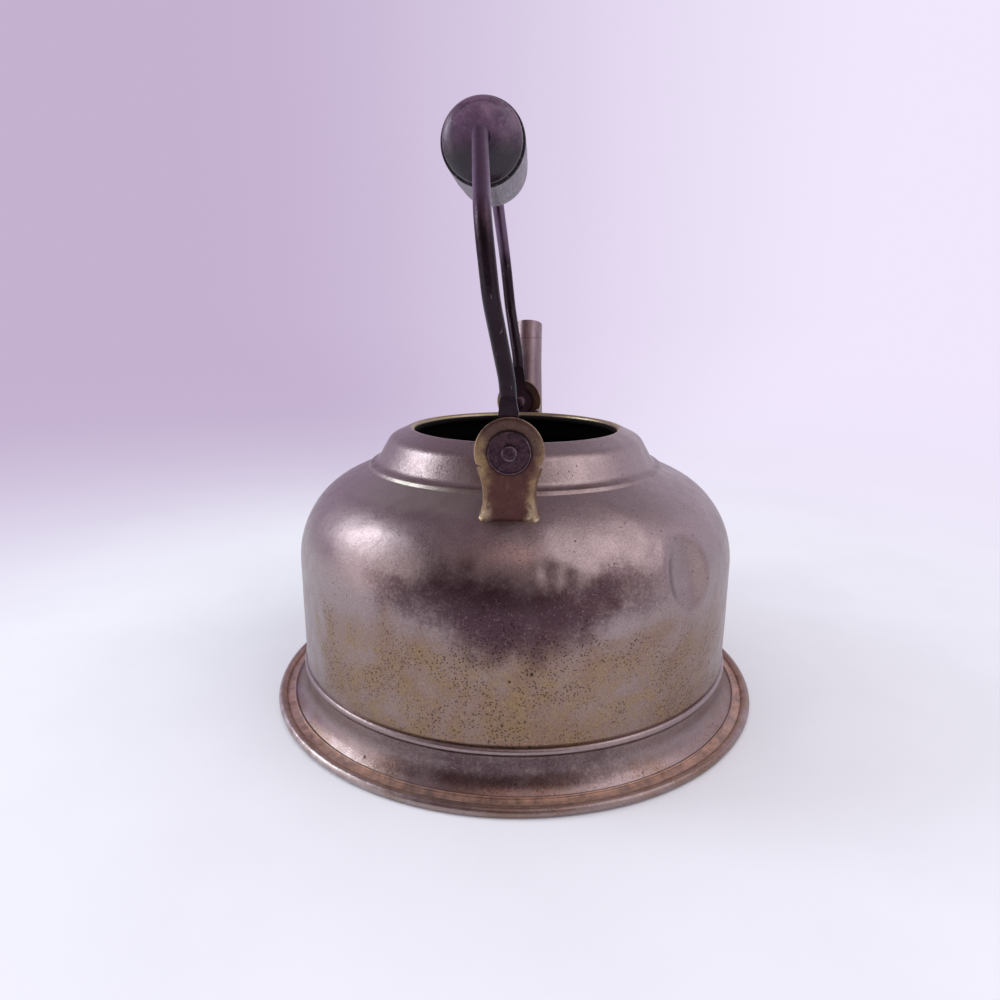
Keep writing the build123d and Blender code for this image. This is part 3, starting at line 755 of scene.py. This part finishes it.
def ear_point(across, up, side, foot_share):
    """A point of the ear's outer face. across and up go from -1 to 1 over the unfolded sheet."""
    sign = -1 if across < 0 else 1
    across = abs(across)
    level = min(across / FLAT_SHARE, 1)
    if up > foot_share:
        low = math.asin(EAR_OUTLINE[0][1] / EAR_HEAD)
        turn = low + (math.pi / 2 - low) * (up - foot_share) / (1 - foot_share)
        high = EAR_HEAD * math.sin(turn)
        x = EAR_HEAD * math.cos(turn) * level
        rolled = max(0.0, math.hypot(x, high) - EAR_HEAD + HEAD_ROLL)
        depth = HEAD_DROP * (rolled / HEAD_ROLL) ** 2
        return Vector((sign * x, side * (EAR_REACH / MM - depth), PIVOT_HEIGHT / MM + high)) * MM
    share = (up + 1) / (1 + foot_share)
    fold = min(max((across - FLAT_SHARE) / FOLD_SHARE, 0), 1) * math.pi / 2
    bent = FLAT_SHARE + FOLD_SHARE
    back = max((across - bent) / (1 - bent), 0) * (FLANGE_DEPTH - EAR_FOLD)
    depth = EAR_FOLD * (1 - math.cos(fold)) + back
    inner = EAR_FOLD - (EAR_FOLD - EAR_SHEET) * math.cos(fold) + back
    top = EAR_OUTLINE[0][1] - FLANGE_GAP - (inner - EAR_SHEET) * math.tan(math.radians(FLANGE_SLOPE))
    low_x = (ear_half_width(-FOOT_DROP) - EAR_FOLD * (1 - math.sin(fold))) * level
    low = shoulder_height(math.hypot(low_x, EAR_REACH / MM - FOOT_LEAN - depth)) - PIVOT_HEIGHT / MM - SEAM
    high = low + (top - low) * share
    width = ear_half_width(high) - EAR_FOLD
    x = width * level + EAR_FOLD * math.sin(fold)
    solder = SOLDER_WIDTH * max(0.0, 1 - (high - low) / SOLDER_HEIGHT) ** 2
    lean = min(max((-high - LEAN_START) / LEAN_HEIGHT, 0.0), 1.0)
    depth += FOOT_LEAN * lean * lean * (3 - 2 * lean) - solder * math.cos(fold)
    x += solder * math.sin(fold)
    return Vector((sign * x, side * (EAR_REACH / MM - depth), PIVOT_HEIGHT / MM + high)) * MM


class KETTLE_OT_body(bpy.types.Operator):
    """Spin the body from its outline, with its dents, and the hole to the spout"""

    bl_idname = "kettle.body"
    bl_label = "Body"

    def execute(self, context):
        settings = context.scene.kettle_plate
        bm = bmesh.new()
        draw_outline(bm, BODY_CORNERS, BODY_ROUNDS, 14)
        split_long(bm, 2.5, 1.3)
        spin_whole(bm, SHEET_STEPS)
        soften_sheet(bm, settings.waviness, DENTS)
        self.open_spout(bm)
        bmesh.ops.solidify(bm, geom=bm.faces[:], thickness=BODY_SHEET)
        for face in bm.faces:
            middle = face.calc_center_median()
            outward = Vector((middle.x, middle.y, 0)).normalized()
            inner = face.normal.dot(outward) < -0.05 or face.normal.z < -0.3
            face.material_index = 1 if inner and middle.z < LIP_HEIGHT else 0
        materials = [body_finish(settings), inside_finish(settings)]
        place_piece("kettle_body", bm, "kettle", materials, replaces=["body_shell"])
        return {"FINISHED"}

    def open_spout(self, bm):
        """Opens the round hole under the spout's root."""
        root = Vector(SPOUT_ROOT)
        front = [v for v in bm.verts if v.co.y > 0]
        near = [v for v in front if math.hypot(v.co.x - root.x, v.co.z - root.z) < SPOUT_HOLE * MM]
        if not near:
            raise RuntimeError("the spout's root isn't on the wall")
        bmesh.ops.delete(bm, geom=near, context="VERTS")
        for vert in {v for e in bm.edges if e.is_boundary for v in e.verts}:
            across, up = vert.co.x - root.x, vert.co.z - root.z
            reach = math.hypot(across, up)
            if vert.co.y > 0 and reach < 1.4 * SPOUT_HOLE * MM:
                vert.co.x = root.x + across / reach * SPOUT_HOLE * MM
                vert.co.z = root.z + up / reach * SPOUT_HOLE * MM


class KETTLE_OT_foot(bpy.types.Operator):
    """Spin the foot from its outline, and finish its wire and the bottom pan"""

    bl_idname = "kettle.foot"
    bl_label = "Foot and pan"

    def execute(self, context):
        settings = context.scene.kettle_plate
        finish = foot_finish(settings)
        bm = bmesh.new()
        draw_outline(bm, FOOT_CORNERS, FOOT_ROUNDS, 7)
        split_long(bm, 1.8, 1.1)
        spin_whole(bm, SHEET_STEPS)
        soften_sheet(bm, 0.6 * settings.waviness)
        for vert in bm.verts:
            vert.co.z = max(vert.co.z, 0.0)
            beyond = vert.co.xy.length / (FOOT_RADIUS * MM)
            if beyond > 1:
                vert.co.xy /= beyond
        place_piece("foot_spun", bm, "kettle", [finish], replaces=["skirt_ring"])
        paint_node("skirt_wire", finish)
        paint_node("bottom_pan", pan_finish(settings))
        return {"FINISHED"}


class KETTLE_OT_spout(bpy.types.Operator):
    """Finish the spout"""

    bl_idname = "kettle.spout"
    bl_label = "Spout"

    def execute(self, context):
        paint_node("spout", spout_finish(context.scene.kettle_plate))
        return {"FINISHED"}


class KETTLE_OT_ears(bpy.types.Operator):
    """Fold the two ears from sheet, and finish their discs and rivets"""

    bl_idname = "kettle.ears"
    bl_label = "Ears and pivots"

    def execute(self, context):
        scene = context.scene
        for end, side in (("rear", -1), ("front", 1)):
            self.fold_ear(f"{end}_ear", side, ear_finish(scene.kettle_ear, f"{end}_ear_brass"))
            finish = pivot_finish(scene.kettle_steel, f"{end}_pivot_dark")
            paint_node(f"{end}_pivot_disc", finish)
            paint_node(f"{end}_rivet", finish)
        return {"FINISHED"}

    def fold_ear(self, node, side, finish):
        across, up, foot_rows = 64, 76, 44
        foot_share = 2 * foot_rows / up - 1
        bm = bmesh.new()
        bmesh.ops.create_grid(bm, x_segments=across, y_segments=up, size=1.0)
        flat = FLAT_SHARE + 0.2 / across
        beyond = foot_share + 0.2 / up
        corners = [v for v in bm.verts if abs(v.co.x) > flat and v.co.y > beyond]
        bmesh.ops.delete(bm, geom=corners, context="VERTS")
        for vert in bm.verts:
            share = foot_share if abs(vert.co.y - foot_share) < 0.2 / up else vert.co.y
            vert.co = ear_point(vert.co.x, share, side, foot_share)
        bmesh.ops.remove_doubles(bm, verts=bm.verts[:], dist=2e-6)
        bmesh.ops.recalc_face_normals(bm, faces=bm.faces[:])
        pivot = Vector((0, side * EAR_REACH, PIVOT_HEIGHT))
        front = min(bm.faces, key=lambda face: (face.calc_center_median() - pivot).length)
        if front.normal.y * side < 0:
            bmesh.ops.reverse_faces(bm, faces=bm.faces[:])
        bmesh.ops.solidify(bm, geom=bm.faces[:], thickness=EAR_SHEET * MM)
        bm.normal_update()
        cuts = [e for e in bm.edges if e.is_manifold and e.calc_face_angle() > math.radians(50)]
        bmesh.ops.bevel(
            bm, geom=cuts, offset=0.16 * MM, offset_type="OFFSET", segments=2, profile=0.5, affect="EDGES",
            clamp_overlap=True, material=-1,
        )
        place_piece(node + "_folded", bm, "kettle", [finish], replaces=[node])


class KETTLE_OT_bail(bpy.types.Operator):
    """Finish the bail's rod"""

    bl_idname = "kettle.bail"
    bl_label = "Bail"

    def execute(self, context):
        paint_node("bail_rod", steel_finish(context.scene.kettle_steel))
        return {"FINISHED"}


class KETTLE_OT_grip(bpy.types.Operator):
    """Turn the wooden grip from its outline"""

    bl_idname = "kettle.grip"
    bl_label = "Grip"

    def execute(self, context):
        bm = bmesh.new()
        draw_outline(bm, GRIP_CORNERS, GRIP_ROUNDS, 6)
        split_long(bm, 2.0, 1.0)
        spin_whole(bm, GRIP_STEPS)
        for vert in bm.verts:
            out = Vector((vert.co.x, vert.co.y, 0))
            reach = out.length / (12 * MM)
            uneven = GRIP_UNEVEN[0] * noise.noise(vert.co * GRIP_WAVES) - GRIP_UNEVEN[1]
            vert.co += out.normalized() * uneven * min(reach, 1)
        upright = Vector((0, 0, 1)).rotation_difference(GRIP_AXIS).to_matrix()
        bmesh.ops.rotate(bm, verts=bm.verts[:], cent=(0, 0, 0), matrix=upright)
        bmesh.ops.translate(bm, verts=bm.verts[:], vec=GRIP_CENTRE)
        bmesh.ops.recalc_face_normals(bm, faces=bm.faces[:])
        finish = wood_finish(context.scene.kettle_grip)
        place_piece("grip_turned", bm, "grip_turning", [finish], replaces=["grip"])
        return {"FINISHED"}


class KETTLE_OT_stage(bpy.types.Operator):
    """Make the floor, the background, the lamps and the camera"""

    bl_idname = "kettle.stage"
    bl_label = "Stage"

    def execute(self, context):
        scene = context.scene
        settings = scene.kettle_stage
        self.make_floor(settings)
        self.make_world(scene, settings)
        for name, turn, rise, size, setting, colour in LAMPS:
            self.make_lamp(name, turn, rise, size, getattr(settings, setting), colour)
        self.make_camera(scene)
        scene.view_settings.view_transform = "Standard"
        return {"FINISHED"}

    def make_floor(self, settings):
        """A wide floor of fine cloth, which fades into the background far from the kettle."""
        bm = bmesh.new()
        bmesh.ops.create_grid(bm, x_segments=8, y_segments=8, size=12.0)
        mesh = bpy.data.meshes.new("floor")
        bm.to_mesh(mesh)
        bm.free()
        floor = bpy.data.objects.new("floor", mesh)
        bpy.context.scene.collection.objects.link(floor)
        f = new_finish("floor_cloth")
        radius, turn, height = f.around()
        shaded = tuple(c * 0.97 for c in settings.floor)
        colour = f.blend(f.ease(f.grain(60, 3), 0.3, 0.7), settings.floor, shaded)
        surface = {"Base Color": colour, "Roughness": 0.9, "Specular IOR Level": 0.1}
        cloth = f.node("ShaderNodeBsdfPrincipled", surface)
        f.feed(cloth.inputs["Normal"], f.bump(f.grain(1.5, 3), 0.05, 0.3))
        side = f.ease(f.calc("SINE", turn), -0.42, 0.42)
        wall = f.node("ShaderNodeEmission", {"Color": f.blend(side, settings.wall_left, settings.wall_right)})
        seen = f.node("ShaderNodeLightPath").outputs["Is Camera Ray"]
        nearness = f.calc("DIVIDE", 1.0, f.larger(radius, 0.05))
        far = f.times(f.ease(nearness, 5.5, 0.5), seen)
        mixed = f.node("ShaderNodeMixShader", {0: far, 1: cloth.outputs[0], 2: wall.outputs[0]})
        f.node("ShaderNodeOutputMaterial", {"Surface": mixed.outputs[0]})
        mesh.materials.append(f.owner)

    def make_world(self, scene, settings):
        """Even light. What is seen or mirrored is the pale wall, with a dimmer room behind the camera."""
        world = bpy.data.worlds.new("studio")
        f = Finish(world, "Generated")
        x, y, z = f.split()
        side = f.ease(f.calc("DIVIDE", x, f.larger(f.length(x, y), 0.01)), -0.42, 0.42)
        wall = f.blend(side, settings.wall_left, settings.wall_right)
        path = f.node("ShaderNodeLightPath").outputs
        dim = f.larger(f.ease(y, 0.35, -0.55), f.ease(z, 0.35, 0.85, 0.0, 0.75))
        dim = f.times(dim, f.ease(z, -0.25, -0.1))
        dim = f.times(dim, f.minus(1.0, path["Is Camera Ray"]))
        shown = f.node("ShaderNodeBackground", {"Color": f.blend(dim, wall, settings.room)})
        even = f.node("ShaderNodeBackground", {"Color": (0.95, 0.93, 1.0), "Strength": settings.sky})
        mirrored = f.larger(path["Is Glossy Ray"], path["Is Transmission Ray"])
        direct = f.larger(path["Is Camera Ray"], mirrored)
        pick = f.node("ShaderNodeMixShader", {0: direct, 1: even.outputs[0], 2: shown.outputs[0]})
        f.node("ShaderNodeOutputWorld", {"Surface": pick.outputs[0]})
        scene.world = world

    def make_lamp(self, name, turn, rise, size, power, colour):
        """A square lamp that faces the kettle, at an angle round from the camera's side and one upwards."""
        data = bpy.data.lights.new(name, "AREA")
        data.shape = "SQUARE"
        data.size = size
        data.energy = power
        data.color = colour
        lamp = bpy.data.objects.new(name, data)
        turn, rise = math.radians(turn), math.radians(rise)
        way = Vector((math.sin(turn) * math.cos(rise), -math.cos(turn) * math.cos(rise), math.sin(rise)))
        lamp.location = LAMP_AIM + way * LAMP_DISTANCE
        lamp.rotation_mode = "QUATERNION"
        lamp.rotation_quaternion = way.to_track_quat("Z", "Y")
        bpy.context.scene.collection.objects.link(lamp)

    def make_camera(self, scene):
        data = bpy.data.cameras.new("camera")
        data.sensor_fit = "HORIZONTAL"
        data.sensor_width = SENSOR_WIDTH
        data.lens = FOCAL_PIXELS / IMAGE_PIXELS * SENSOR_WIDTH
        data.clip_start, data.clip_end = 0.01, 20.0
        camera = bpy.data.objects.new("camera", data)
        right, up, back = Vector(CAMERA_RIGHT), Vector(CAMERA_UP), -Vector(CAMERA_FORWARD)
        turned = Matrix((right, up, back)).transposed().to_4x4()
        camera.matrix_world = Matrix.Translation(CAMERA_PLACE) @ turned
        scene.collection.objects.link(camera)
        scene.camera = camera


PIECES = (
    KETTLE_OT_body, KETTLE_OT_foot, KETTLE_OT_spout, KETTLE_OT_ears, KETTLE_OT_bail, KETTLE_OT_grip,
    KETTLE_OT_stage,
)
SETTINGS = {
    "kettle_plate": PlateSettings,
    "kettle_ear": EarSettings,
    "kettle_steel": SteelSettings,
    "kettle_grip": GripSettings,
    "kettle_stage": StageSettings,
}


class KETTLE_PT_pieces(bpy.types.Panel):
    """Pieces of the kettle and the sizes and colours that they are made with"""

    bl_idname = "KETTLE_PT_pieces"
    bl_label = "Tea Kettle"
    bl_space_type = "VIEW_3D"
    bl_region_type = "UI"
    bl_category = "Kettle"

    def draw(self, context):
        for operator in PIECES:
            self.layout.operator(operator.bl_idname)
        for name, group in SETTINGS.items():
            box = self.layout.box()
            for prop in group.__annotations__:
                box.prop(getattr(context.scene, name), prop)


def register():
    for cls in (*SETTINGS.values(), *PIECES, KETTLE_PT_pieces):
        bpy.utils.register_class(cls)
    for name, group in SETTINGS.items():
        setattr(bpy.types.Scene, name, PointerProperty(type=group))


def unregister():
    for name in SETTINGS:
        delattr(bpy.types.Scene, name)
    for cls in reversed((*SETTINGS.values(), *PIECES, KETTLE_PT_pieces)):
        bpy.utils.unregister_class(cls)


def main():
    register()
    bpy.ops.kettle.stage()
    bpy.ops.kettle.body()
    bpy.ops.kettle.foot()
    bpy.ops.kettle.spout()
    bpy.ops.kettle.ears()
    bpy.ops.kettle.bail()
    bpy.ops.kettle.grip()
    bpy.context.view_layer.update()


if __name__ == "__main__":
    main()
